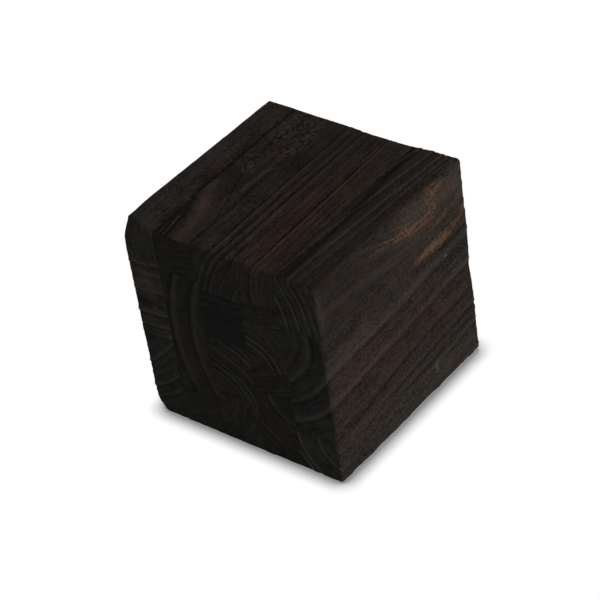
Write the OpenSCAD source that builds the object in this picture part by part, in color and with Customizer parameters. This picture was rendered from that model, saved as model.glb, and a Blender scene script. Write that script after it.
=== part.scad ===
// Solid block glued up from staves of dark, brushed softwood.
// The grain runs along Y, so the front and the back show end grain.
// Millimetres. The origin is the middle of the underside, +Z is up.

/* [Block] */
// Length of the block, along the grain
block_length = 100; // [60:1:160]
// Height of the block
block_height = 100; // [92:1:120]

/* [Lamella widths, left to right] */
// Width of the first lamella at the front
lamella_1_w = 17; // [12:0.5:24]
// Width of the second lamella
lamella_2_w = 20.5; // [14:0.5:26]
// Width of the third lamella
lamella_3_w = 21.5; // [14:0.5:26]
// Width of the fourth lamella
lamella_4_w = 19.5; // [14:0.5:26]
// Width of the fifth lamella at the front
lamella_5_w = 21.5; // [12:0.5:26]

/* [Stave heights, top to bottom; the lowest stave takes what is left] */
// Lamella 1, top stave
stave_1_top_h = 16.5; // [13:0.5:20]
// Lamella 1, middle stave
stave_1_middle_h = 40.5; // [36:0.5:45]
// Lamella 2, top stave
stave_2_top_h = 18; // [14:0.5:21]
// Lamella 2, middle stave
stave_2_middle_h = 62; // [57:0.5:65]
// Lamella 3, top stave
stave_3_top_h = 21.5; // [18:0.5:24]
// Lamella 3, upper stave
stave_3_upper_h = 23.5; // [20:0.5:26]
// Lamella 3, lower stave
stave_3_lower_h = 29.5; // [25:0.5:32]
// Lamella 4, top stave
stave_4_top_h = 19; // [15:0.5:22]
// Lamella 4, upper stave
stave_4_upper_h = 9.5; // [7:0.5:13]
// Lamella 4, middle stave
stave_4_middle_h = 22.5; // [19:0.5:26]
// Lamella 4, lower stave
stave_4_lower_h = 14; // [11:0.5:17]
// Lamella 5, top stave
stave_5_top_h = 25; // [21:0.5:28]
// Lamella 5, middle stave
stave_5_middle_h = 55; // [50:0.5:59]

/* [Cutting and wear] */
// Angle in plan between the glue lines and the sides, in degrees
glue_line_skew = 1; // [0:0.1:2]
// Radius of the four arrises along the grain, eased after the brushing
long_arris_r = 2.2; // [2.1:0.1:4]
// Radius of the arrises round the two end faces
end_arris_r = 1.2; // [0.6:0.1:2]
// Worn top left corner at the front: how far the wear runs along the top edge
top_corner_run = 18; // [8:0.5:24]
// Worn top left corner: how far it runs down the upright edge
top_corner_drop = 11; // [6:0.5:16]
// Worn top left corner: how far it runs back along the grain
top_corner_back = 5; // [3:0.5:8]
// Worn bottom left corner at the front: how far the wear runs along the two lower edges
bottom_corner_run = 5; // [3:0.5:10]
// Worn bottom left corner: how far it runs up the upright edge
bottom_corner_rise = 9; // [4:0.5:14]

/* [Brushing] */
// Depth to which the soft spring wood is brushed out
brush_depth = 0.6; // [0.2:0.05:0.6]
// Share of each year ring that is soft spring wood
spring_share = 0.5; // [0.3:0.05:0.65]
// Width of the glue-soaked strip that the brush leaves standing on each side of a glue line
glue_land_w = 0.3; // [0.2:0.05:0.8]

/* [Hidden] */
$fn = 144;

// How far a cutter reaches past the surface that it cuts.
over = 5;

function sum(values, count) = count == 0 ? 0 : values[count - 1] + sum(values, count - 1);

lamella_w = [lamella_1_w, lamella_2_w, lamella_3_w, lamella_4_w, lamella_5_w];
block_width = sum(lamella_w, len(lamella_w));

// Stave heights of each lamella from the top down; the last stave ends at the underside.
function stacked(heights) = concat(heights, [block_height - sum(heights, len(heights))]);
stave_h = [
    stacked([stave_1_top_h, stave_1_middle_h]),
    stacked([stave_2_top_h, stave_2_middle_h]),
    stacked([stave_3_top_h, stave_3_upper_h, stave_3_lower_h]),
    stacked([stave_4_top_h, stave_4_upper_h, stave_4_middle_h, stave_4_lower_h]),
    stacked([stave_5_top_h, stave_5_middle_h])
];

function joint_x(lamella) = sum(lamella_w, lamella) - block_width / 2;
function stave_top_z(lamella, place) = block_height - sum(stave_h[lamella], place);

// A rectangle with round corners, centred.
module rounded_rectangle(w, h, r) {
    square([w - 2 * r, h], center = true);
    square([w, h - 2 * r], center = true);
    for (x = [-1, 1], z = [-1, 1])
        translate([x * (w / 2 - r), z * (h / 2 - r)]) circle(r);
}

// A rounded rectangle extruded along Y, through the block's middle.
module prism_along_y(w, h, r) {
    translate([0, 0, block_height / 2]) rotate([90, 0, 0])
        linear_extrude(block_length + 2 * over, center = true) rounded_rectangle(w, h, r);
}

module prism_along_x(l, h, r) {
    translate([0, 0, block_height / 2]) rotate([90, 0, 90])
        linear_extrude(block_width + 2 * over, center = true) rounded_rectangle(l, h, r);
}

module prism_along_z(w, l, r) {
    translate([0, 0, -over])
        linear_extrude(block_height + 2 * over) rounded_rectangle(w, l, r);
}

// The outside of the finished block, with its arrises eased.
module block_form() {
    intersection() {
        prism_along_y(block_width, block_height, long_arris_r);
        prism_along_x(block_length, block_height, end_arris_r);
        prism_along_z(block_width, block_length, end_arris_r);
    }
}

// A box round the block that stands off its faces by margin, or lies inside them by a negative one.
module box_round_block(margin) {
    size = [block_width, block_length, block_height];
    translate([0, 0, block_height / 2]) cube([for (side = size) side + 2 * margin], center = true);
}

// The layer that the brush reaches.
module brushed_skin() {
    difference() {
        box_round_block(over);
        box_round_block(-brush_depth);
    }
}

// A flat cut across a corner. The legs say where it meets the three edges, signed along the axes.
module corner_cut(corner, legs) {
    normal = [1 / legs[0], 1 / legs[1], 1 / legs[2]];
    size = norm(legs);
    foot = normal / (normal * normal);
    translate(corner + foot)
        rotate([0, acos(-normal[2] / norm(normal)), atan2(-normal[1], -normal[0])])
            translate([-size, -size, 0]) cube([2 * size, 2 * size, size]);
}

module worn_corners() {
    corner_cut([-block_width / 2, -block_length / 2, block_height],
               [top_corner_run, top_corner_back, -top_corner_drop]);
    corner_cut([-block_width / 2, -block_length / 2, 0],
               [bottom_corner_run, bottom_corner_run, bottom_corner_rise]);
}

// Turns what it holds from the block's own direction to that of the glue lines, about the front face.
module along_the_glue_lines() {
    translate([0, -block_length / 2, 0]) rotate([0, 0, glue_line_skew]) children();
}

// How far a stave's long side is moved outward: past the block's outside, or in from a glue line.
function side_shift(on_the_outside, inset) = on_the_outside ? over : -inset;

// The board that a stave was sawn from, in its place in the glue-up before the block was cut out.
// inset draws its glued sides in.
module stave_blank(lamella, place, inset = 0) {
    last_lamella = len(lamella_w) - 1;
    last_place = len(stave_h[lamella]) - 1;
    left = joint_x(lamella) - side_shift(lamella == 0, inset);
    right = joint_x(lamella + 1) + side_shift(lamella == last_lamella, inset);
    top = stave_top_z(lamella, place) + side_shift(place == 0, inset);
    bottom = stave_top_z(lamella, place + 1) - side_shift(place == last_place, inset);
    run = 3 * block_length;
    along_the_glue_lines()
        translate([left, -run / 2, bottom]) cube([right - left, run, top - bottom]);
}

// Tubes of spring wood round the tree's pith, between the nearest and the farthest corner of a stave.
// pith is where the tree's middle lies from the middle of the stave's top edge, [across, up], at the
// front. lean turns the grain, [to the right, upward], in degrees, on its way to the back.
module spring_wood(lamella, place, pith, ring, lean) {
    w = lamella_w[lamella];
    h = stave_h[lamella][place];
    middle_x = joint_x(lamella) + w / 2;
    far = norm([pith[0], pith[1] + h / 2]);
    reach = norm([w, h]) / 2 + ring;
    first = max(1, floor((far - reach) / ring));
    last = ceil((far + reach) / ring);
    along_the_glue_lines() translate([middle_x + pith[0], 0, stave_top_z(lamella, place) + pith[1]])
        rotate([lean[1], 0, -lean[0]]) rotate([90, 0, 0])
            for (k = [first : last]) difference() {
                cylinder(r = (k + (1 + spring_share) / 2) * ring, h = 3 * block_length, center = true);
                cylinder(r = (k + (1 - spring_share) / 2) * ring, h = 4 * block_length, center = true);
            }
}

module stave(lamella, place, pith, ring, lean = [0, 0]) {
    difference() {
        intersection() {
            stave_blank(lamella, place);
            block_form();
        }
        intersection() {
            brushed_skin();
            stave_blank(lamella, place, glue_land_w);
            spring_wood(lamella, place, pith, ring, lean);
        }
        worn_corners();
    }
}

module stave_1_top() {
    color("#312a27") stave(0, 0, pith = [-36, -22], ring = 3.5);
}

module stave_1_middle() {
    color("#352d29") stave(0, 1, pith = [-11, 107], ring = 5.2);
}

module stave_1_bottom() {
    color("#2d2623") stave(0, 2, pith = [-40, 36], ring = 5);
}

module stave_2_top() {
    color("#2a2421") stave(1, 0, pith = [-16, 69], ring = 2.8);
}

module stave_2_middle() {
    color("#362e2a") stave(1, 1, pith = [65, -30], ring = 10.5);
}

module stave_2_bottom() {
    color("#26211f") stave(1, 2, pith = [-26, 65], ring = 6);
}

module stave_3_top() {
    color("#312a26") stave(2, 0, pith = [44, -34], ring = 3.6);
}

module stave_3_upper() {
    color("#211d1b") stave(2, 1, pith = [-8, 81], ring = 4);
}

module stave_3_lower() {
    color("#322b28") stave(2, 2, pith = [-17, -40], ring = 4);
}

module stave_3_bottom() {
    color("#292422") stave(2, 3, pith = [-48, 14], ring = 5);
}

module stave_4_top() {
    color("#322924") stave(3, 0, pith = [61, -20], ring = 3.2, lean = [-1, 0]);
}

module stave_4_upper() {
    color("#282321") stave(3, 1, pith = [-19, 79], ring = 2.6);
}

module stave_4_middle() {
    color("#2f2926") stave(3, 2, pith = [-11, -27], ring = 3.3);
}

module stave_4_lower() {
    color("#23201e") stave(3, 3, pith = [-29, 68], ring = 4);
}

module stave_4_bottom() {
    color("#2c2623") stave(3, 4, pith = [13, 4], ring = 4.9);
}

module stave_5_top() {
    color("#3a302b") stave(4, 0, pith = [-59, -32], ring = 3.8, lean = [1, 3]);
}

module stave_5_middle() {
    color("#3c3430") stave(4, 1, pith = [-29, -2], ring = 8.1, lean = [1, 5]);
}

module stave_5_bottom() {
    color("#372f2b") stave(4, 2, pith = [17, 4], ring = 5.3, lean = [1, 6]);
}

stave_1_top();
stave_1_middle();
stave_1_bottom();
stave_2_top();
stave_2_middle();
stave_2_bottom();
stave_3_top();
stave_3_upper();
stave_3_lower();
stave_3_bottom();
stave_4_top();
stave_4_upper();
stave_4_middle();
stave_4_lower();
stave_4_bottom();
stave_5_top();
stave_5_middle();
stave_5_bottom();
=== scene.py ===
import math
import bpy
import numpy as np
from mathutils import Matrix, Vector


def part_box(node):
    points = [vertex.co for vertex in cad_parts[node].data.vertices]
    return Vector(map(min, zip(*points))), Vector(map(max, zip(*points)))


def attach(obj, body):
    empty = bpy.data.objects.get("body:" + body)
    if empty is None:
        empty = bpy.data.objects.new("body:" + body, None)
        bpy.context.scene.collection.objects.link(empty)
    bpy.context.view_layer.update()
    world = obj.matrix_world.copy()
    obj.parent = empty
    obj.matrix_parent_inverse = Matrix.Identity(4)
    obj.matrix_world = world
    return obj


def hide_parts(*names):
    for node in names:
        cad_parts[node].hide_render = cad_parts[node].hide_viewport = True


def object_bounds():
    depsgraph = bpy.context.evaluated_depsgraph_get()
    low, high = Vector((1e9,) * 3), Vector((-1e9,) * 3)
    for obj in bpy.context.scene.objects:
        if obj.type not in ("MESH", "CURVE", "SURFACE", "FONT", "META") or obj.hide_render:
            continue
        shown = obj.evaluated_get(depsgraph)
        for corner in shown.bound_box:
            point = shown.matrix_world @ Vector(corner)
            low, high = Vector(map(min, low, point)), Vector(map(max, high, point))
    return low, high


# a dark block glued up from eighteen brushed staves; lengths are in mm until a mesh is made

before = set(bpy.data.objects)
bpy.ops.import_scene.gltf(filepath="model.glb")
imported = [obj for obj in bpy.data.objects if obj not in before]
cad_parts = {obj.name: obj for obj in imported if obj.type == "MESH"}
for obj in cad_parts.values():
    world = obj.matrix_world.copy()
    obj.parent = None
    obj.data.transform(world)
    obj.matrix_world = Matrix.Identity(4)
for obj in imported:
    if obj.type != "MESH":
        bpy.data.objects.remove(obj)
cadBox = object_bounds()

mm = 0.001
blockLow = np.array(cadBox[0]) / mm
blockHigh = np.array(cadBox[1]) / mm
blockLength = blockHigh[1] - blockLow[1]
# each glue line drifts to the left on its way to the back
glueDrift = (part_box("stave_1_middle")[1].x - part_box("stave_2_middle")[0].x) / mm
glueSkew = math.atan2(glueDrift, blockLength)
print("block", np.round(blockHigh - blockLow, 2), "mm, glue lines turned", round(math.degrees(glueSkew), 2))


# camera, lamps and floor

viewpoint = {
    "azimuth": 42.87,  # degrees round from the front end towards the right side
    "elevation": 37.0,
    "roll": -9.16,
    "distance": 0.9534,  # metres
    "aim": (-0.0003, -0.0045, 0.0459),  # metres
    "lens": 136.7,
}

studio = {
    "ambient": 0.25,  # what the room alone gives a white card
    "lamps": [
        # name, azimuth, elevation, what it gives a white card that faces it, width and distance in metres
        ("keyLamp", 80, 20, 1.3, 0.5, 1.3),
        ("fillLamp", -70, 40, 0.18, 0.9, 1.3),
        ("backLamp", 190, 35, 0.25, 0.9, 1.3),
    ],
    "floorSize": 8.0,  # metres
    "floorColour": (0.8, 0.8, 0.8, 1),
    "shadow": (0.26, 0.26, 0.26, 1),  # where the block meets the floor
    "shadowReach": 0.0075,  # metres
    "shadowRange": (0.5, 1),  # share of open sky where the shadow is darkest and where it ends
    "shadowSamples": 32,
    "white": (1, 1, 1, 1),
}


def directionOf(azimuth, elevation):
    a, e = math.radians(azimuth), math.radians(elevation)
    return Vector((math.sin(a) * math.cos(e), -math.cos(a) * math.cos(e), math.sin(e)))


def standing(place, right, up, back):
    turned = Matrix((right, up, back)).transposed()
    return Matrix.Translation(place) @ turned.to_4x4()


def addCamera(view):
    back = directionOf(view["azimuth"], view["elevation"])
    level = Vector((0, 0, 1)).cross(back).normalized()
    steep = back.cross(level)
    roll = math.radians(view["roll"])
    right = level * math.cos(roll) + steep * math.sin(roll)
    up = steep * math.cos(roll) - level * math.sin(roll)
    camera = bpy.data.objects.new("camera", bpy.data.cameras.new("camera"))
    camera.data.lens = view["lens"]
    camera.matrix_world = standing(Vector(view["aim"]) + back * view["distance"], right, up, back)
    bpy.context.scene.collection.objects.link(camera)
    bpy.context.scene.camera = camera


def addLamp(name, azimuth, elevation, level, width, distance, middle):
    back = directionOf(azimuth, elevation)
    right = Vector((0, 0, 1)).cross(back).normalized()
    data = bpy.data.lights.new(name, "AREA")
    data.shape = "DISK"
    data.size = width
    data.energy = level * (math.pi * distance) ** 2
    lamp = bpy.data.objects.new(name, data)
    lamp.matrix_world = standing(middle + back * distance, right, back.cross(right), back)
    bpy.context.scene.collection.objects.link(lamp)


class Wire:  # a socket in a node tree, so that shader maths reads as plain Python
    def __init__(self, tree, socket=None):
        self.tree = tree
        self.socket = socket

    def node(self, kind, settings=None, sockets=None, out=0):
        made = self.tree.nodes.new(kind)
        for name, value in (settings or {}).items():
            setattr(made, name, value)
        for name, value in (sockets or {}).items():
            if isinstance(value, Wire):
                self.tree.links.new(value.socket, made.inputs[name])
            else:
                made.inputs[name].default_value = value
        return Wire(self.tree, made.outputs[out] if len(made.outputs) else None)

    def maths(self, operation, *values):
        return self.node("ShaderNodeMath", {"operation": operation}, dict(enumerate(values)))

    def __add__(self, other):
        return self.maths("ADD", self, other)

    def __sub__(self, other):
        return self.maths("SUBTRACT", self, other)

    def __rsub__(self, other):
        return self.maths("SUBTRACT", other, self)

    def __mul__(self, other):
        return self.maths("MULTIPLY", self, other)

    __radd__ = __add__
    __rmul__ = __mul__

    def held(self):  # kept between 0 and 1
        return self.node("ShaderNodeClamp", None, {"Value": self})

    def mixed(self, first, second):  # the colour that lies between two by this factor
        return self.node("ShaderNodeMix", {"data_type": "RGBA", "clamp_factor": False},
                         {0: self, 6: first, 7: second}, out=2)

    def attribute(self, name, out="Fac"):
        return self.node("ShaderNodeAttribute", {"attribute_name": name}, None, out=out)

    def noise(self, size, detail):  # about this place, from -0.5 to 0.5; size is the length of its bumps
        scale = tuple(1 / length for length in size)
        place = self.node("ShaderNodeVectorMath", {"operation": "MULTIPLY"}, {0: self, 1: scale})
        sockets = {"Vector": place, "Scale": 1, "Detail": detail}
        return self.node("ShaderNodeTexNoise", {"noise_dimensions": "3D"}, sockets) - 0.5


def newMaterial(name):
    material = bpy.data.materials.new(name)
    material.use_nodes = True
    material.node_tree.nodes.clear()
    return material, Wire(material.node_tree)


def addFloor(settings):  # what the camera sees of it is white, but for a narrow soft shadow about the block
    half = settings["floorSize"] / 2
    corners = [(-half, -half, 0), (half, -half, 0), (half, half, 0), (-half, half, 0)]
    mesh = bpy.data.meshes.new("floor")
    mesh.from_pydata(corners, [], [(0, 1, 2, 3)])
    material, wire = newMaterial("paleFloor")
    real = wire.node("ShaderNodeBsdfDiffuse", None, {"Color": settings["floorColour"]})
    sky = wire.node("ShaderNodeAmbientOcclusion", {"samples": settings["shadowSamples"]},
                    {"Distance": settings["shadowReach"]}, out="AO")
    start, full = settings["shadowRange"]
    shade = ((sky - start) * (1 / (full - start))).held().mixed(settings["shadow"], settings["white"])
    seen = wire.node("ShaderNodeEmission", None, {"Color": shade})
    both = wire.node("ShaderNodeMixShader", None, {0: seenRay(wire), 1: real, 2: seen})
    wire.node("ShaderNodeOutputMaterial", None, {"Surface": both})
    mesh.materials.append(material)
    floor = bpy.data.objects.new("floor", mesh)
    bpy.context.scene.collection.objects.link(floor)


def seenRay(wire):  # 1 for what the camera sees, straight or in a shine
    path = {name: wire.node("ShaderNodeLightPath", None, None, out=name)
            for name in ("Is Camera Ray", "Is Glossy Ray", "Is Transmission Ray")}
    straight = wire.maths("MAXIMUM", path["Is Camera Ray"], path["Is Glossy Ray"])
    return wire.maths("MAXIMUM", straight, path["Is Transmission Ray"])


def addRoom(settings):
    world = bpy.data.worlds.new("room")
    world.use_nodes = True
    world.node_tree.nodes.clear()
    wire = Wire(world.node_tree)
    white = settings["white"]
    dim = wire.node("ShaderNodeBackground", None, {"Color": white, "Strength": settings["ambient"]})
    pale = wire.node("ShaderNodeBackground", None, {"Color": white, "Strength": 1})
    both = wire.node("ShaderNodeMixShader", None, {0: seenRay(wire), 1: dim, 2: pale})
    wire.node("ShaderNodeOutputWorld", None, {"Surface": both})
    bpy.context.scene.world = world


addCamera(viewpoint)
addRoom(studio)
addFloor(studio)
for lamp in studio["lamps"]:
    addLamp(*lamp, Vector(viewpoint["aim"]))
bpy.context.scene.view_settings.view_transform = "Standard"
print("camera, floor and lamps")


# the wood that all staves share: how it is divided, brushed and worn

mesher = {
    "cell": 0.32,  # mm between points across the grain and on the ends
    "stride": 1.1,  # mm between points along the grain
    "endSteps": (0, 0.25, 0.5, 0.75, 1.0, 1.25, 1.6, 2.1, 2.8, 3.7),  # mm from each end, along the grain
    "snug": 0.01,  # mm within which a stave's side counts as a side of the block
    "patternShift": 40,  # mm along the grain, so that no two staves share a pattern
}

arris = {
    "long": 2.2,  # mm, radius of the arrises along the grain
    "sharp": 0.8,  # the same for the top left one
    "end": 1.2,  # the same round the two ends
    "bite": 0.5,  # mm that is chipped off where it is most ragged
    "endBite": (0.5, 2),  # how far the surface has turned where the chipping begins and is whole, at the ends
    "longBite": (0.2, 1),  # the same along the grain
}

brush = {
    "depth": 0.55,  # mm from the highest late wood to the bottom of the deepest groove
    "endShare": 0.5,  # of that depth, on end grain
    "plain": 0.5,  # height of plain spring wood, as a share of the depth
    "crest": 0.16,  # share of a year inside its outer edge, where the late wood is hardest
    "crestWidth": (0.45, 0.09),  # mm, and the share of a year that adds to it
    "crestHeight": 0.6,  # how much of a ridge stands in its crest and not in the slope before it
    # the colour of a ridge is the late wood's own lighter colour with a painted highlight on its crest
    "crestColourAndHighlight": 0.85,  # the same for its colour
    "slope": 0.7,  # share of a year inside the edge, where the wood begins to harden
    "drop": 0.07,  # share of a year in which a ridge falls off at the edge
    "groove": (0.04, 0.33),  # shares of a year past the edge, where a groove begins to rise and runs out
    "jitter": 0.04,  # share of a year by which the edges are out of step
    "faint": (0.1, 0.4),  # how bold the years are that a stave says nothing of
    "waver": 0.35,  # short bends of the years, as a share of their wander
    "line": 0.07,  # mm, depth of the fine lines within the years
    "broadLine": 0.7,  # broader lines, as a share of the fine ones
    "endLine": 0.6,  # what is left of the lines on the ends
    "fibre": 0.05,  # mm, depth of the marks that follow the fibres
    "endFibre": 0.5,  # what is left of them on the ends
    "sag": 0.1,  # mm, slow unevenness
    "knotty": 0.15,  # mm, depth of the wild grain about a knot
    "rubbed": 0.5,  # share of the relief that is rubbed off a worn place
    "glueGroove": 0.06,  # mm, depth of the groove along a glue line
    "glueWidth": 0.25,  # mm that it reaches to each side
    "crack": 0.5,  # mm, depth of a whole crack
}

wornCorners = [  # corner, then where the wear meets its three edges, mm along x, y and z
    ((blockLow[0], blockLow[1], blockHigh[2]), (18, 5, -11)),
    ((blockLow[0], blockLow[1], blockLow[2]), (5, 5, 9)),
]
wear = {"blend": 1.5, "waver": 0.5}  # mm over which it runs into the faces, and by which it is uneven

dents = [  # place, size along x, y and z, and depth, mm
    ((-20, 50, 100), (8, 3, 3), 0.6),
    ((5, 50, 100), (9, 3, 3), 1.2),
    ((22, 50, 100), (6, 3, 3), 0.9),
    ((50, 50, 46), (3, 3, 5), 0.7),
    ((-50, -42, 100), (3, 5, 3), 0.5),
]

unevenness = {  # length of its bumps along three axes in mm, and its seed
    "wander": ((13, 70, 13), 0),
    "waver": ((5, 24, 5), 1),
    "line": ((0.6, 10, 45), 3),
    "broadLine": ((1.3, 18, 70), 4),
    "fibre": ((0.7, 14, 0.7), 5),
    "broadFibre": ((1.6, 25, 1.6), 6),
    "sag": ((16, 30, 16), 7),
    "knotty": ((1.6, 2.4, 1.6), 8),
    "bite": ((4, 4, 4), 50),
    "fineBite": ((1.6, 2.5, 1.6), 51),
    "spill": ((4, 4, 4), 60),
    "corner": ((5, 5, 5), 900),
}
latticeSide = 48  # bumps before the unevenness repeats


def uneven(kind, points, seed=0):  # from -1 to 1
    size, ownSeed = unevenness[kind]
    lattice = np.random.default_rng(seed + ownSeed).uniform(-1, 1, (latticeSide,) * 3)
    place = points / np.array(size)
    cell = np.floor(place).astype(int)
    part = eased(place - cell)
    total = np.zeros(len(points))
    for corner in np.ndindex(2, 2, 2):
        weight = np.prod(np.where(corner, part, 1 - part), axis=1)
        total += weight * lattice[tuple(((cell + corner) % latticeSide).T)]
    return total


def eased(part):  # from 0 to 1 with a soft start and end
    return part * part * (3 - 2 * part)


def rise(value, start, end):  # 0 up to the start and 1 from the end
    return eased(np.clip((value - start) / (end - start), 0, 1))


def fade(distance, width):  # 1 at no distance, fading over the width
    return np.exp(-((distance / width) ** 2))


def near(points, place, size):  # 1 at the place, fading with distance
    return np.exp(-0.5 * (((points - place) / size) ** 2).sum(axis=1))


def sidesOf(node):  # x of a stave's two sides at the front and their slope towards the back, and what shows
    low, high = (np.array(corner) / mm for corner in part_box(node))
    snug = mesher["snug"]
    shows = [[abs(low[k] - blockLow[k]) < snug, abs(high[k] - blockHigh[k]) < snug] for k in range(3)]
    left = low[0] if shows[0][0] else low[0] + glueDrift
    slopes = [0 if outer else -glueDrift / blockLength for outer in shows[0]]
    return {"left": left, "right": high[0], "slopes": slopes, "bottom": low[2], "top": high[2],
            "width": high[0] - left, "height": high[2] - low[2], "shows": shows}


def countsOf(sides, wood):  # how many cells a stave has along x, y and z
    cell = mesher["cell"] * 1
    steps = mesher["endSteps"]
    inner = blockLength - 2 * steps[-1]
    along = round(inner / wood.get("stride", mesher["stride"])) + 2 * len(steps) - 2
    return round(sides["width"] / cell), along, round(sides["height"] / cell)


def shellOf(counts, shows):  # numbered points of a box's skin, its quads and the plain sides that are glued
    step = np.array([1, counts[0] + 1, (counts[0] + 1) * (counts[1] + 1)])
    quads, glued = [], []
    for axis in range(3):
        b, c = (axis + 1) % 3, (axis + 2) % 3
        for side in (0, 1):
            grid = np.add.outer(np.arange(counts[b] + 1) * step[b], np.arange(counts[c] + 1) * step[c])
            grid = grid + side * counts[axis] * step[axis]
            if shows[axis][side]:
                corners = [grid[:-1, :-1], grid[1:, :-1], grid[1:, 1:], grid[:-1, 1:]]
                patch = np.stack(corners, axis=-1).reshape(-1, 4)
                quads.append(patch if side else patch[:, ::-1])
            else:
                rim = np.concatenate([grid[:-1, 0], grid[-1, :-1], grid[:0:-1, -1], grid[0, :0:-1]])
                glued.append(rim if side else rim[::-1])
    quads = np.concatenate(quads)
    points, quads = np.unique(quads.ravel(), return_inverse=True)
    glued = [np.searchsorted(points, rim[np.isin(rim, points)]) for rim in glued]
    places = [points % step[1], points % step[2] // step[1], points // step[2]]
    return np.stack(places, axis=1), quads.reshape(-1, 4), glued


def sharpPoints(places, counts, sides):  # where the numbered points lie on the sharp block
    steps = np.array(mesher["endSteps"])
    inside = np.linspace(steps[-1], blockLength - steps[-1], counts[1] - 2 * len(steps) + 3)
    along = blockLow[1] + np.concatenate([steps[:-1], inside, blockLength - steps[-2::-1]])
    across = places[:, 0] / counts[0]
    y = along[places[:, 1]]
    z = sides["bottom"] + sides["height"] * places[:, 2] / counts[2]
    slope = (1 - across) * sides["slopes"][0] + across * sides["slopes"][1]
    x = (1 - across) * sides["left"] + across * sides["right"] + slope * (y - blockLow[1])
    return np.stack([x, y, z], axis=1), slope


def easedForm(points):  # the sharp block's points moved to its rounded arrises, and the way out of it
    tiny = 1e-9
    moved = points.copy()
    section = [0, 2]
    topLeft = (points[:, 0] < 0) & (points[:, 2] > blockHigh[2] / 2)
    radius = np.where(topLeft, arris["sharp"], arris["long"])
    margin = np.stack([radius, radius], axis=1)
    inner = np.clip(points[:, section], blockLow[section] + margin, blockHigh[section] - margin)
    away = points[:, section] - inner
    reach = np.maximum(np.hypot(*away.T), tiny)
    away *= (np.abs(away).max(axis=1) / reach)[:, None]
    reach = np.hypot(*away.T)
    outward = away / np.maximum(reach, tiny)[:, None]
    toEnd = np.minimum(points[:, 1] - blockLow[1], blockHigh[1] - points[:, 1])
    nearSide = np.clip(arris["end"] - radius + reach, 0, arris["end"])
    nearEnd = np.clip(arris["end"] - toEnd, 0, arris["end"])
    both = np.maximum(np.hypot(nearSide, nearEnd), tiny)
    kept = np.maximum(nearSide, nearEnd) / both
    towards = np.where(points[:, 1] > 0, 1, -1)
    moved[:, section] = inner + away - outward * (nearSide * (1 - kept))[:, None]
    moved[:, 1] -= towards * nearEnd * (1 - kept)
    normal = np.stack([outward[:, 0] * nearSide, towards * nearEnd, outward[:, 1] * nearSide], axis=1)
    return moved, normal / both[:, None]


def wearCorners(points, normal):  # lays the points beyond a worn corner onto it
    worn = np.zeros(len(points))
    blend = wear["blend"]
    for number, (corner, legs) in enumerate(wornCorners):
        outward = -1 / np.array(legs)
        size = np.linalg.norm(outward)
        beyond = ((points - corner) @ outward + 1) / size
        beyond += wear["waver"] * uneven("corner", points, number)
        part = np.clip((beyond + blend) / (2 * blend), 0, 1)
        moved = np.where(beyond > blend, beyond, part * part * blend)
        points = points - moved[:, None] * outward / size
        normal = normal * (1 - part[:, None]) + part[:, None] * outward / size
        worn = np.maximum(worn, part)
    return points, normal / np.linalg.norm(normal, axis=1)[:, None], worn


def intoTree(points, wood, sides):  # the points seen from the tree's pith; y runs along the grain
    middle = [(sides["left"] + sides["right"]) / 2 + wood["pith"][0], 0, sides["top"] + wood["pith"][1]]
    aside, up = (math.radians(angle) for angle in wood.get("lean", (0, 0)))
    glued = np.array(Matrix.Rotation(-glueSkew, 3, "Z"))
    leant = np.array(Matrix.Rotation(-up, 3, "X") @ Matrix.Rotation(aside, 3, "Z"))
    return ((points - [0, blockLow[1], 0]) @ glued.T - middle) @ leant.T


def throughYears(points, tree, wood, seed):  # distance from the pith, then round it and along the grain, mm
    section = tree[:, [0, 2]]
    reach = np.hypot(*section.T)
    heading = section.mean(axis=0)
    turn = np.arctan2(section @ [heading[1], -heading[0]], section @ heading)
    around = turn * reach.mean()
    reach = reach + wood["wander"] * uneven("wander", tree, seed)
    reach += brush["waver"] * wood["wander"] * uneven("waver", tree, seed)
    for place, size, push in wood.get("knots", ()):
        reach += push * near(points, place, size)
    return np.stack([reach, around, tree[:, 1]], axis=1)


def yearEdges(reach, wood, seed):
    # shares of a year to each point's next edge and from its last one, and how bold these are
    ring = wood["ring"]
    count = int(reach.max() / ring) + 3
    chance = np.random.default_rng(seed)
    edges = np.arange(count) + brush["crest"] + brush["jitter"] * chance.uniform(-1, 1, count)
    bold = chance.uniform(*brush["faint"], count)
    for year, (boldness, shift) in wood["years"].items():
        bold[year] = boldness
        edges[year] += shift / ring
    age = reach / ring
    year = np.clip(np.searchsorted(edges, age), 1, count - 1)
    return edges[year] - age, age - edges[year - 1], bold[year], bold[year - 1]


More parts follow.
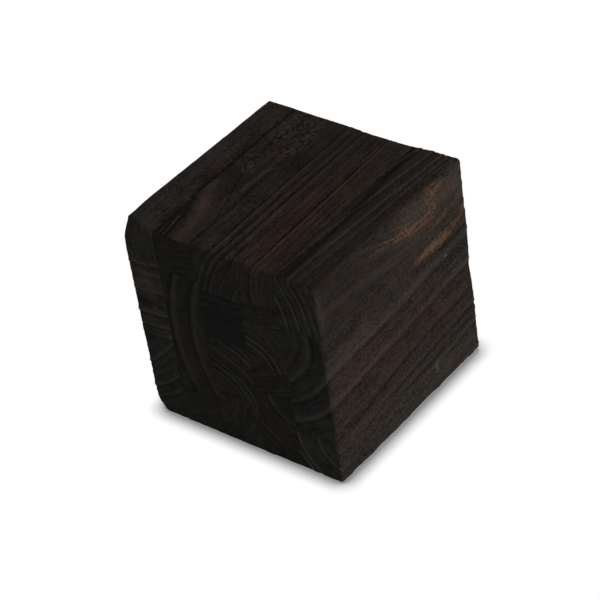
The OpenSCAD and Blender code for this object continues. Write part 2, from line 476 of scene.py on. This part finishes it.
def brushed(points, tree, rings, normal, wood, seed):
    # depth of the brushing in mm, and masks of hard and soft wood
    toEdge, fromEdge, bold, before = yearEdges(rings[:, 0], wood, seed)
    endness = normal[:, 1] ** 2
    calm = endness + (1 - endness) * wood.get("longBold", 1)
    drop = rise(toEdge, 0, brush["drop"])
    width = brush["crestWidth"][0] / wood["ring"] + brush["crestWidth"][1]
    crest = fade(toEdge - brush["crest"], width) * drop * bold * calm
    slope = (1 - rise(toEdge, brush["crest"], brush["slope"])) * drop * bold * calm
    groove = (1 - rise(fromEdge, *brush["groove"])) * drop * before * calm
    proud = (1 - brush["crestHeight"]) * slope + brush["crestHeight"] * crest
    height = brush["plain"] * (1 - groove) + (1 - brush["plain"]) * proud
    depth = brush["depth"] * (1 - height) * (1 - endness * (1 - brush["endShare"]))
    lines = uneven("line", rings, seed) + brush["broadLine"] * uneven("broadLine", rings, seed)
    depth -= brush["line"] * lines * (1 - (1 - brush["endLine"]) * endness)
    fibre = uneven("fibre", tree, seed) + uneven("broadFibre", tree, seed)
    depth -= brush["fibre"] * fibre * (1 - crest) * (1 - (1 - brush["endFibre"]) * endness)
    depth += brush["sag"] * uneven("sag", points, seed)
    # the ridge's colour mask: lighter late wood, and a painted highlight along the crest
    ridge = (1 - brush["crestColourAndHighlight"]) * slope + brush["crestColourAndHighlight"] * crest
    return depth, {"ridge": ridge, "groove": groove, "lines": lines}


def glueGap(places, counts, sides):  # distance to the nearest glue line, mm
    gap = np.full(len(places), np.inf)
    for axis, span in ((0, sides["width"]), (2, sides["height"])):
        part = places[:, axis] / counts[axis]
        for side, share in ((0, part), (1, 1 - part)):
            if not sides["shows"][axis][side]:
                gap = np.minimum(gap, share * span)
    return gap


# marks on a stave: stain, cracks with painted shade in them, and wear

faces = {"top": ([0, 1], [0, 0, 1]), "right": ([1, 2], [1, 0, 0]), "front": ([0, 2], [0, -1, 0])}
facing = (0.3, 0.9)  # how squarely a point has to face that way before a mark shows and is whole
markKinds = ("rust", "pale", "blush", "crack", "rubbed", "knotty")


def strokeMask(flat, width, route):  # 1 on the line through some points on a face, fading over the width
    route = np.array(route, float)
    nearest = np.full(len(flat), np.inf)
    for start, end in zip(route[:-1], route[1:]):
        along = np.clip((flat - start) @ (end - start) / ((end - start) @ (end - start)), 0, 1)
        nearest = np.minimum(nearest, np.hypot(*(flat - start - along[:, None] * (end - start)).T))
    return fade(nearest, width)


def marksOf(points, normal, wood):
    marks = {kind: np.zeros(len(points)) for kind in markKinds}
    for kind, face, width, strength, route in wood.get("strokes", ()):
        axes, outward = faces[face]
        mask = strength * strokeMask(points[:, axes], width, route) * rise(normal @ outward, *facing)
        marks[kind] = np.where(np.abs(mask) > np.abs(marks[kind]), mask, marks[kind])
    return marks


def ragged(points, normal):  # how much is chipped off: most on an arris, nothing on a face
    endArris = 2 * np.sqrt(np.abs(normal[:, 1]) * np.hypot(normal[:, 0], normal[:, 2]))
    longArris = 2 * np.abs(normal[:, 0] * normal[:, 2])
    corner = np.maximum(rise(endArris, *arris["endBite"]), rise(longArris, *arris["longBite"]))
    bite = 1 + uneven("bite", points) + uneven("fineBite", points)
    return corner * np.maximum(bite, 0) / 2


def wornDepth(depth, points, normal, tree, worn, marks, glueLine, seed):
    # the depth of the brushing together with all that came after it
    depth = depth * (1 - brush["rubbed"] * np.maximum(worn, marks["rubbed"]))
    depth += brush["knotty"] * marks["knotty"] * uneven("knotty", tree, seed)
    depth += arris["bite"] * ragged(points, normal)
    for place, size, deep in dents:
        depth += deep * near(points, place, size)
    return depth + brush["glueGroove"] * glueLine + brush["crack"] * marks["crack"]


stain = {  # how the dark wood looks in plain light, from spring wood to a ridge
    "spring": (0.0045, 0.0034, 0.00275, 1),
    # the ridge colours hold the late wood's lighter colour and a painted highlight on the crests
    "ridge": (0.0238, 0.0186, 0.0152, 1),
    "springEnd": (0.0038, 0.0035, 0.0029, 1),
    "ridgeEnd": (0.0175, 0.0165, 0.0138, 1),
    "rust": (0.0405, 0.0222, 0.0137, 1),
    # tints that multiply it
    "cool": (0.88, 1.02, 1.06, 1),
    "warm": (1.13, 0.97, 0.9, 1),
    "coolEnd": (0.93, 0.98, 1.15, 1),
    "warmEnd": (1.07, 1.01, 0.85, 1),
    "blush": (1.38, 0.97, 1.02, 1),
    # how it lies on the block
    "endEdge": (0.2, 0.8),  # how squarely a point has to face an end before it takes the end's colour
    "spill": 3,  # mm that the colour of the top reaches down the ends
    # painted shade: the colour in and about a crack is darkened for the shade that falls into it
    "crackShade": 0.8,  # how much a crack darkens the wood about it
    "glueDark": 0.5,  # the same for a glue line
    "knottyDull": 0.7,  # how much the ridges' colour is lost in wild grain
    "rubbedFill": 0.8,  # how much the grooves' colour is lost where it is rubbed
    "roughness": 0.62,
    "gloss": 0.01,  # next to none
    "bump": {"Strength": 0.4, "Distance": 0.0003},  # the distance is in metres
}

figure = {  # noise in the colour: what it follows, the length of its bumps in mm and its detail
    "fine": ("rings", (0.5, 6, 25), 2),
    "broad": ("rings", (2.2, 14, 60), 2),
    "fibre": ("grain", (0.55, 3.5, 0.55), 2),
    "grit": ("grain", (0.8, 1.1, 0.8), 2),
    "patch": ("grain", (4, 7, 4), 2),
    "slow": ("grain", (10, 26, 10), 1),
    "curl": ("grain", (1.7, 2.2, 1.7), 1),
    "hue": ("grain", (6, 9, 6), 1),
}

recipe = {  # what goes into each tone or mask, and how much of it; plain is what there is without the rest
    "wild": {"plain": 0.06, "curl": 1},
    "tone": {"plain": 0.42, "ridge": 0.55, "groove": -0.25, "lines": 0.07, "fine": 0.7, "broad": 0.5,
             "wild": 3.5, "pale": 0.45, "rubbed": 0.3},
    "long": {"tone": 1, "fibre": 0.7, "grit": 1.9, "blotches": 1},
    "blotches": {"patch": 0.8, "slow": 0.8},
    "end": {"tone": 1, "fibre": 0.6, "grit": 0.6, "patch": 0.65, "slow": 0.65},
    "hue": {"plain": 0.5, "hue": 1.5},
    "blush": {"plain": 0.8, "patch": 2, "slow": 1.5},
    "rust": {"plain": 0.72, "fibre": 2.5, "fine": 2.5, "grit": 3, "patch": 1.5},
    "glow": {"plain": 0.97, "fibre": 2, "fine": 2, "grit": 2.5},
    "bump": {"fine": 1, "fibre": 1, "grit": 1, "wild": 2},
}


def weighed(parts, kind):  # the parts of one recipe, added up
    total = recipe[kind].get("plain", 0)
    for name, weight in recipe[kind].items():
        if name != "plain":
            total = total + weight * parts[name]
    return total


def woodMaterial(name, wood):
    material, wire = newMaterial(name)
    spaces = {space: wire.attribute(space, "Vector") for space in ("rings", "grain")}
    parts = {kind: wire.attribute(kind) for kind in ("ridge", "groove", "lines", "pale", "rubbed")}
    for kind, (space, size, detail) in figure.items():
        parts[kind] = spaces[space].noise(size, detail)
    parts["wild"] = wire.attribute("knotty") * weighed(parts, "wild")
    parts["tone"] = weighed(parts, "tone")
    parts["blotches"] = weighed(parts, "blotches") * wood.get("mottle", 1)
    # not held at 1, so the painted highlight on bold ridges can go past the ridge colour
    longTone = wire.maths("MAXIMUM", weighed(parts, "long") * wire.attribute("shade"), 0)
    endTone = wire.maths("MAXIMUM", weighed(parts, "end") * wood["endTone"], 0)
    long = longTone.mixed(stain["spring"], stain["ridge"])
    end = endTone.mixed(stain["springEnd"], stain["ridgeEnd"])
    hue = (weighed(parts, "hue") + wood.get("warmth", 0)).held()
    longTint = hue.mixed(stain["cool"], stain["warm"])
    endTint = hue.mixed(stain["coolEnd"], stain["warmEnd"])
    ends = wire.attribute("ends")
    blush = (wire.attribute("blush") * weighed(parts, "blush")).held()
    tint = blush.mixed(ends.mixed(longTint, endTint), stain["blush"])
    stained = ends.mixed(long, end)
    colour = wire.node("ShaderNodeVectorMath", {"operation": "MULTIPLY"}, {0: stained, 1: tint})
    rust = (wire.attribute("rust") * weighed(parts, "rust")).held()
    colour = rust.mixed(colour, weighed(parts, "glow").mixed(stain["spring"], stain["rust"]))
    bump = wire.node("ShaderNodeBump", None, {**stain["bump"], "Height": weighed(parts, "bump")})
    sockets = {"Base Color": colour, "Roughness": stain["roughness"], "Normal": bump,
               "Specular IOR Level": stain["gloss"]}
    shader = wire.node("ShaderNodeBsdfPrincipled", None, sockets)
    wire.node("ShaderNodeOutputMaterial", None, {"Surface": shader})
    return material


def stainMasks(points, normal, masks, marks, glueLine, wood):  # what the material reads at each point
    # painted shade along the cracks, and darker glue lines
    marks["pale"] -= stain["crackShade"] * marks["crack"]
    dark = np.maximum(marks.pop("crack"), stain["glueDark"] * glueLine)
    masks["groove"] = np.maximum(masks["groove"], dark) * (1 - stain["rubbedFill"] * marks["rubbed"])
    masks["ridge"] *= 1 - np.maximum(marks["rubbed"], stain["knottyDull"] * marks["knotty"])
    spill = fade(blockHigh[2] - points[:, 2], stain["spill"]) * (1 + uneven("spill", points)) / 2
    ends = np.maximum(rise(normal[:, 1] ** 2, *stain["endEdge"]) * (1 - spill), marks["rubbed"])
    shade = wood["tone"] * (1 + wood.get("fade", 0) * points[:, 1] / blockLength)
    return {**masks, **marks, "ends": ends, "shade": shade}


def addPiece(name, points, quads, glued, values):
    mesh = bpy.data.meshes.new(name)
    mesh.from_pydata((points * mm).tolist(), [], quads.tolist() + [rim.tolist() for rim in glued])
    smooth = np.ones(len(mesh.polygons), bool)
    smooth[len(quads):] = False
    mesh.polygons.foreach_set("use_smooth", smooth)
    for kind, value in values.items():
        form, field = ("FLOAT", "value") if value.ndim == 1 else ("FLOAT_VECTOR", "vector")
        mesh.attributes.new(kind, form, "POINT").data.foreach_set(field, value.astype(np.float32).ravel())
    piece = bpy.data.objects.new(name, mesh)
    bpy.context.scene.collection.objects.link(piece)
    return piece


triangles = []  # how many each stave has


def makeStave(node, wood):
    number = len(triangles)
    seed = 10 * number + 7  # each kind of unevenness adds its own
    sides = sidesOf(node)
    counts = countsOf(sides, wood)
    places, quads, glued = shellOf(counts, sides["shows"])
    sharp, slope = sharpPoints(places, counts, sides)
    points, normal, worn = wearCorners(*easedForm(sharp))
    tree = intoTree(points, wood, sides)
    rings = throughYears(points, tree, wood, seed)
    marks = marksOf(points, normal, wood)
    glueLine = fade(glueGap(places, counts, sides), brush["glueWidth"])
    depth, masks = brushed(points, tree, rings, normal, wood, seed)
    depth = wornDepth(depth, points, normal, tree, worn, marks, glueLine, seed)
    final = points - normal * depth[:, None]
    final[:, 0] += slope * (final[:, 1] - sharp[:, 1])  # back onto its glue line after a move along the grain
    final = np.clip(final, blockLow, blockHigh)
    values = stainMasks(points, normal, masks, marks, glueLine, wood)
    apart = [0, 0, mesher["patternShift"] * number]
    values.update({"grain": tree + apart, "rings": rings + apart})
    piece = addPiece("brushed_" + node, final, quads, glued, values)
    piece.data.materials.append(woodMaterial(node.replace("stave", "wood"), wood))
    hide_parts(node)
    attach(piece, "root")
    triangles.append(2 * len(quads) + sum(len(rim) - 2 for rim in glued))
    print(node, "has", triangles[-1], "triangles")


# marks that run across more than one stave

glueCrack = ("crack", "top", 0.9, 0.9, ((-35, 50), (-34.6, 10), (-33.9, -20), (-33.2, -50)))
frontCrack = ("crack", "top", 1.5, 1, ((-34.4, -31), (-33.4, -50)))
redPatch = ("blush", "top", 9, 1, ((15, 5), (14, -12), (17, -34)))
lowerStreak = ("rust", "right", 2.3, 0.8, ((15, 71.3), (23, 71), (34, 71.6), (43, 73.2), (50, 77)))

# lamella 1, against the left side

makeStave("stave_1_top", {
    "slot": "dark_stave",
    "pith": (-36, -22),  # mm from the middle of the stave's top edge at the front
    "ring": 3.5,  # mm that the tree grew in a year
    "wander": 0.3,  # mm, how much the years waver
    # how bold the late wood of some years is, and how many mm further out it lies
    "years": {9: (0.8, 0.3), 10: (0.4, 0.3), 11: (0.15, -0.6), 12: (0.15, 0.3), 13: (0.2, -1.2)},
    "tone": 1.2,  # how light its long faces are
    "fade": -0.15,  # how much lighter they get from the front to the back
    "endTone": 1.28,  # how light its ends are
    "strokes": [  # kind, face, width in mm and strength, then the points that it runs through
        glueCrack,
        frontCrack,
        ("rubbed", "top", 5, 1, ((-50, -46), (-34, -46))),
        ("rubbed", "front", 7, 0.9, ((-48, 98), (-37, 97))),
    ],
})

makeStave("stave_1_middle", {
    "slot": "dark_stave",
    "pith": (-11, 107),
    "ring": 5.2,
    "wander": 0.4,
    "years": {
        21: (0.5, 0.9), 22: (0.7, 0.4), 23: (0.1, 0.4), 24: (0.7, -1.2),
        25: (0, 0.4), 26: (0.8, 0.4), 27: (0.6, 1.4), 28: (0.3, 1.2),
    },
    "tone": 1.0,
    "endTone": 1.56,
    "strokes": [
        ("rust", "front", 6, 0.2, ((-41, 82), (-43, 67))),
        ("pale", "front", 4, 0.5, ((-48, 70), (-36, 70))),
        ("pale", "front", 2, -0.6, ((-48, 61), (-36, 60.5))),
    ],
})

makeStave("stave_1_bottom", {
    "slot": "dark_stave",
    "pith": (-40, 36),
    "ring": 5,
    "wander": 0.4,
    "years": {
        11: (0.4, 1.4), 12: (1, 0.4), 13: (0.3, -1.1), 14: (0.45, -2), 15: (1, -2.4), 16: (0.6, -1.9),
    },
    "tone": 1.0,
    "endTone": 1.08,
})

# lamella 2

makeStave("stave_2_top", {
    "slot": "dark_stave",
    "pith": (-16, 69),
    "ring": 2.8,
    "wander": 0.4,
    "years": {25: (0.4, 0), 26: (0.4, 0), 27: (0.2, 0), 28: (0.4, 0), 29: (0.2, 0), 30: (0.35, 0)},
    "stride": 0.6,  # mm between points along the grain, for its wild part
    "tone": 0.87,
    "endTone": 0.72,
    "knots": [((-36, -55, 101), (9, 26, 2), 10)],  # place, size, and how far it pushes the years out, mm
    "strokes": [
        glueCrack,
        frontCrack,
        ("knotty", "top", 7, 1, ((-28, 48), (-27, 28))),
        ("knotty", "top", 7, 1, ((-19, 48), (-18, 20))),
        ("knotty", "top", 4, 1, ((-29, 14), (-26, 4))),
        ("pale", "top", 1.2, 0.9, ((-30, 13), (-27, 8), (-25, 3))),
        ("pale", "top", 1, 0.9, ((-13.3, 11), (-17.6, 5.6), (-17.8, -10))),
        ("pale", "top", 5, -0.5, ((-19, 18), (-19, -10))),
        ("pale", "top", 2.6, 1.3, ((-32, -10), (-29, -19), (-25.3, -27))),
        ("pale", "top", 2.1, 1.8, ((-25.3, -27), (-22.2, -37), (-20.4, -50))),
        ("pale", "top", 3, -0.9, ((-31.5, -32), (-28.5, -49))),
        ("blush", "top", 2.6, 0.6, ((-30, -16), (-25.3, -27), (-21, -45))),
        ("crack", "top", 0.5, 0.6, ((-22.8, -8), (-18.3, -19), (-14.7, -32), (-14, -48))),
        ("crack", "top", 0.9, 1, ((-33, -23), (-28.6, -35), (-26.5, -50))),
        ("crack", "top", 0.7, 0.9, ((-33, -31), (-30, -42), (-28.7, -50))),
        ("crack", "top", 0.7, 0.8, ((-32, -38), (-31, -50))),
        ("pale", "top", 0.4, 1.2, ((-31.5, -39), (-29.7, -49))),
        ("pale", "top", 0.4, 1.2, ((-29.6, -36), (-27.6, -49))),
    ],
})

makeStave("stave_2_middle", {
    "slot": "brown_stave",
    "pith": (65, -30),
    "ring": 10.5,
    "wander": 0.4,
    "years": {5: (0.5, 0.4), 6: (1, -1.2), 7: (1, -2)},
    "tone": 1.0,
    "endTone": 0.86,
})

makeStave("stave_2_bottom", {
    "slot": "black_stave",
    "pith": (-26, 65),
    "ring": 6,
    "wander": 0.4,
    "years": {12: (0.2, 0.4), 13: (0.3, 2.5), 14: (0.1, 0.4)},
    "tone": 0.9,
    "endTone": 0.86,
})

# lamella 3

makeStave("stave_3_top", {
    "slot": "dark_stave",
    "pith": (44, -34),
    "ring": 3.6,
    "wander": 0.3,
    "years": {
        11: (1, -0.8), 12: (0.6, 2.1), 13: (0.9, 3.4), 14: (0.8, 2.6), 15: (1, 2.3),
        16: (0.1, 2), 17: (0.15, 2.1),
    },
    "tone": 0.8,
    "fade": -0.75,
    "endTone": 0.88,
    "strokes": [
        redPatch,
        ("pale", "top", 5, -0.35, ((-9, 14), (-9, -12))),
    ],
})

makeStave("stave_3_upper", {
    "slot": "black_stave",
    "pith": (-8, 81),
    "ring": 4,
    "wander": 0.4,
    "years": {
        21: (0.6, 0.4), 22: (0.45, 0.4), 23: (0.05, 0.4), 24: (0.1, 0.4), 25: (0.05, 0.4), 26: (0.05, 0.4),
    },
    "tone": 1.0,
    "endTone": 0.46,
    "warmth": -0.5,  # from -0.5, all cool, to 0.5, all warm
})

makeStave("stave_3_lower", {
    "slot": "dark_stave",
    "pith": (-17, -40),
    "ring": 4,
    "wander": 0.4,
    "years": {6: (0.5, -0.4), 7: (1, -1), 8: (0.8, -2.4), 9: (1, -0.6), 10: (1, 1.6), 11: (0.8, 0.8)},
    "tone": 1.0,
    "endTone": 0.86,
})

makeStave("stave_3_bottom", {
    "slot": "dark_stave",
    "pith": (-48, 14),
    "ring": 5,
    "wander": 0.5,
    "years": {9: (0.2, 0.4), 10: (0.2, 0.4), 11: (0.15, 0.4), 12: (0.15, 0.4), 13: (0.15, 0.4)},
    "tone": 1.0,
    "endTone": 1.04,
})

# lamella 4

makeStave("stave_4_top", {
    "slot": "dark_stave",
    "pith": (61, -20),
    "ring": 3.2,
    "lean": (-1, 0),  # degrees that the tree leant aside and upwards, towards the back
    "wander": 0.3,
    "years": {
        17: (0.3, 0), 18: (0.25, 0.8), 19: (0.35, 0.4), 20: (0.9, -0.4), 21: (0.25, 0.7), 22: (0.35, 0.7),
    },
    "longBold": 0.9,  # share of the years' boldness on the long faces
    "tone": 1.0,
    "endTone": 1.06,
    "warmth": 0.2,
    "strokes": [
        redPatch,
        ("crack", "top", 0.4, 0.7, ((15.5, 25), (16.7, -10), (18.2, -44))),
        ("rust", "top", 1.5, 0.2, ((23, -14), (24.5, -15))),
        ("rust", "front", 2.5, 0.16, ((21.5, 99), (19, 82))),
    ],
})

makeStave("stave_4_upper", {
    "slot": "black_stave",
    "pith": (-19, 79),
    "ring": 2.6,
    "wander": 0.3,
    "years": {31: (0.1, 0), 32: (0.1, 0), 33: (0.05, 0), 34: (0.15, 0), 35: (0.9, 0)},
    "tone": 1.0,
    "endTone": 0.92,
})

makeStave("stave_4_middle", {
    "slot": "dark_stave",
    "pith": (-11, -27),
    "ring": 3.3,
    "wander": 0.3,
    "years": {
        3: (0.4, -1.1), 4: (1, 1.3), 5: (1, 1.4), 6: (0.2, 1.4), 7: (0.2, 1.4), 8: (0.1, 0), 9: (0.1, 0),
    },
    "tone": 1.0,
    "endTone": 1.14,
})

makeStave("stave_4_lower", {
    "slot": "black_stave",
    "pith": (-29, 68),
    "ring": 4,
    "wander": 0.4,
    "years": {19: (0.6, 0.6), 20: (0.3, -2), 21: (0.6, 0.7), 22: (0.6, -1), 23: (0.3, 0.4)},
    "tone": 1.0,
    "endTone": 0.73,
})

makeStave("stave_4_bottom", {
    "slot": "dark_stave",
    "pith": (13, 4),
    "ring": 4.9,
    "wander": 0.4,
    "years": {3: (1, 1.6), 4: (0.1, 0.4), 5: (0.15, 0.4), 6: (0.7, 1.9), 7: (0.2, 0.4)},
    "tone": 1.0,
    "endTone": 0.78,
})

# lamella 5, against the right side

makeStave("stave_5_top", {
    "slot": "brown_stave",
    "pith": (-59, -32),
    "ring": 3.8,
    "lean": (1, 3),
    "wander": 0.4,
    "years": {
        14: (1, -0.2), 15: (0.9, 1.9), 16: (0.1, 0), 17: (0.9, -0.1), 18: (0.7, 0), 19: (0.25, -0.5),
        20: (0.25, 0.3), 21: (0.2, 0),
    },
    "tone": 0.86,
    "mottle": 0.6,  # share of the usual blotches
    "fade": 0.65,
    "endTone": 1.25,
    "warmth": -0.1,
    "knots": [((51, 20, 103), (3, 20, 13), 9), ((33, 60, 101), (8, 30, 5), -4)],
    "strokes": [
        ("crack", "top", 1.5, 1,
         ((27.9, 50), (28.5, 38), (29.8, 22), (31.3, 8), (32.4, -8), (33, -28), (33.5, -48))),
        ("rust", "right", 1.4, 0.35, ((-14, 93), (-5, 91.8), (4, 90.5))),
        ("rust", "right", 2.8, 1.1, ((4, 90.5), (11, 88.8), (17, 87), (22.5, 86.6), (27, 88.5))),
        ("rust", "right", 4.6, 1.1, ((23, 87), (26.5, 90.5), (28.5, 95), (28, 100))),
        ("rust", "right", 1.2, 0.6, ((29.5, 80.5), (36, 82))),
        ("rust", "front", 1.3, 0.4, ((43, 98.5), (47, 98))),
        ("rubbed", "right", 3, 0.7, ((-50, 98), (-49, 82))),
        ("pale", "right", 9, 0.85, ((14, 93), (48, 90))),
        ("blush", "right", 6, 0.4, ((33, 93), (46, 91))),
        ("pale", "top", 9, 0.5, ((38, -50), (40, -20))),
        lowerStreak,
    ],
})

makeStave("stave_5_middle", {
    "slot": "brown_stave",
    "pith": (-29, -2),
    "ring": 8.1,
    "lean": (1, 5),
    "wander": 0.4,
    "years": {
        3: (0.3, 1.4), 4: (0.8, -1.2), 5: (1, 0.5), 6: (1, 1.7), 7: (0.2, 3), 8: (0.7, 1.6), 9: (0.5, -2.4),
    },
    "longBold": 0.65,
    "tone": 0.92,
    "mottle": 0.5,
    "endTone": 1.1,
    "warmth": -0.1,
    "knots": [((50, -10, 60), (7, 80, 7), -2.4)],
    "strokes": [
        lowerStreak,
        ("blush", "right", 11, 0.8, ((-36, 45), (-2, 44))),
        ("blush", "right", 8, 0.75, ((15, 43), (25, 42))),
        ("rust", "right", 3, 0.12, ((-24, 66), (-21, 65))),
        ("pale", "right", 1, 0.35, ((-50, 57.2), (-22, 58.2), (8, 61.3), (20, 62))),
        ("pale", "right", 4, -0.35, ((-45, 69), (45, 70))),
        ("crack", "right", 1.6, 0.6, ((14, 66.5), (47, 67.4))),
        ("crack", "right", 0.7, 0.4, ((22, 58.8), (48, 58))),
        ("crack", "right", 1.1, 0.45, ((-37, 24), (-1, 31), (28, 34), (46, 34))),
        ("pale", "right", 0.7, 4, ((32.5, 62), (33, 61.3))),
    ],
})

makeStave("stave_5_bottom", {
    "slot": "brown_stave",
    "pith": (17, 4),
    "ring": 5.3,
    "lean": (1, 6),
    "wander": 0.4,
    "years": {2: (0.6, -1.2), 3: (0.9, 1.4), 4: (0, 0.4), 5: (1, 1.4), 6: (0.8, -1.1)},
    "longBold": 0.4,
    "tone": 1.18,
    "mottle": 0.5,
    "endTone": 1.52,
    "warmth": -0.15,
    "strokes": [
        ("pale", "right", 0.6, 3, ((18.5, 14), (19, 10.5))),
        ("crack", "right", 1.1, 0.45, ((2, 16), (30, 18), (48, 20))),
    ],
})

print(sum(triangles), "triangles in", len(triangles), "staves")
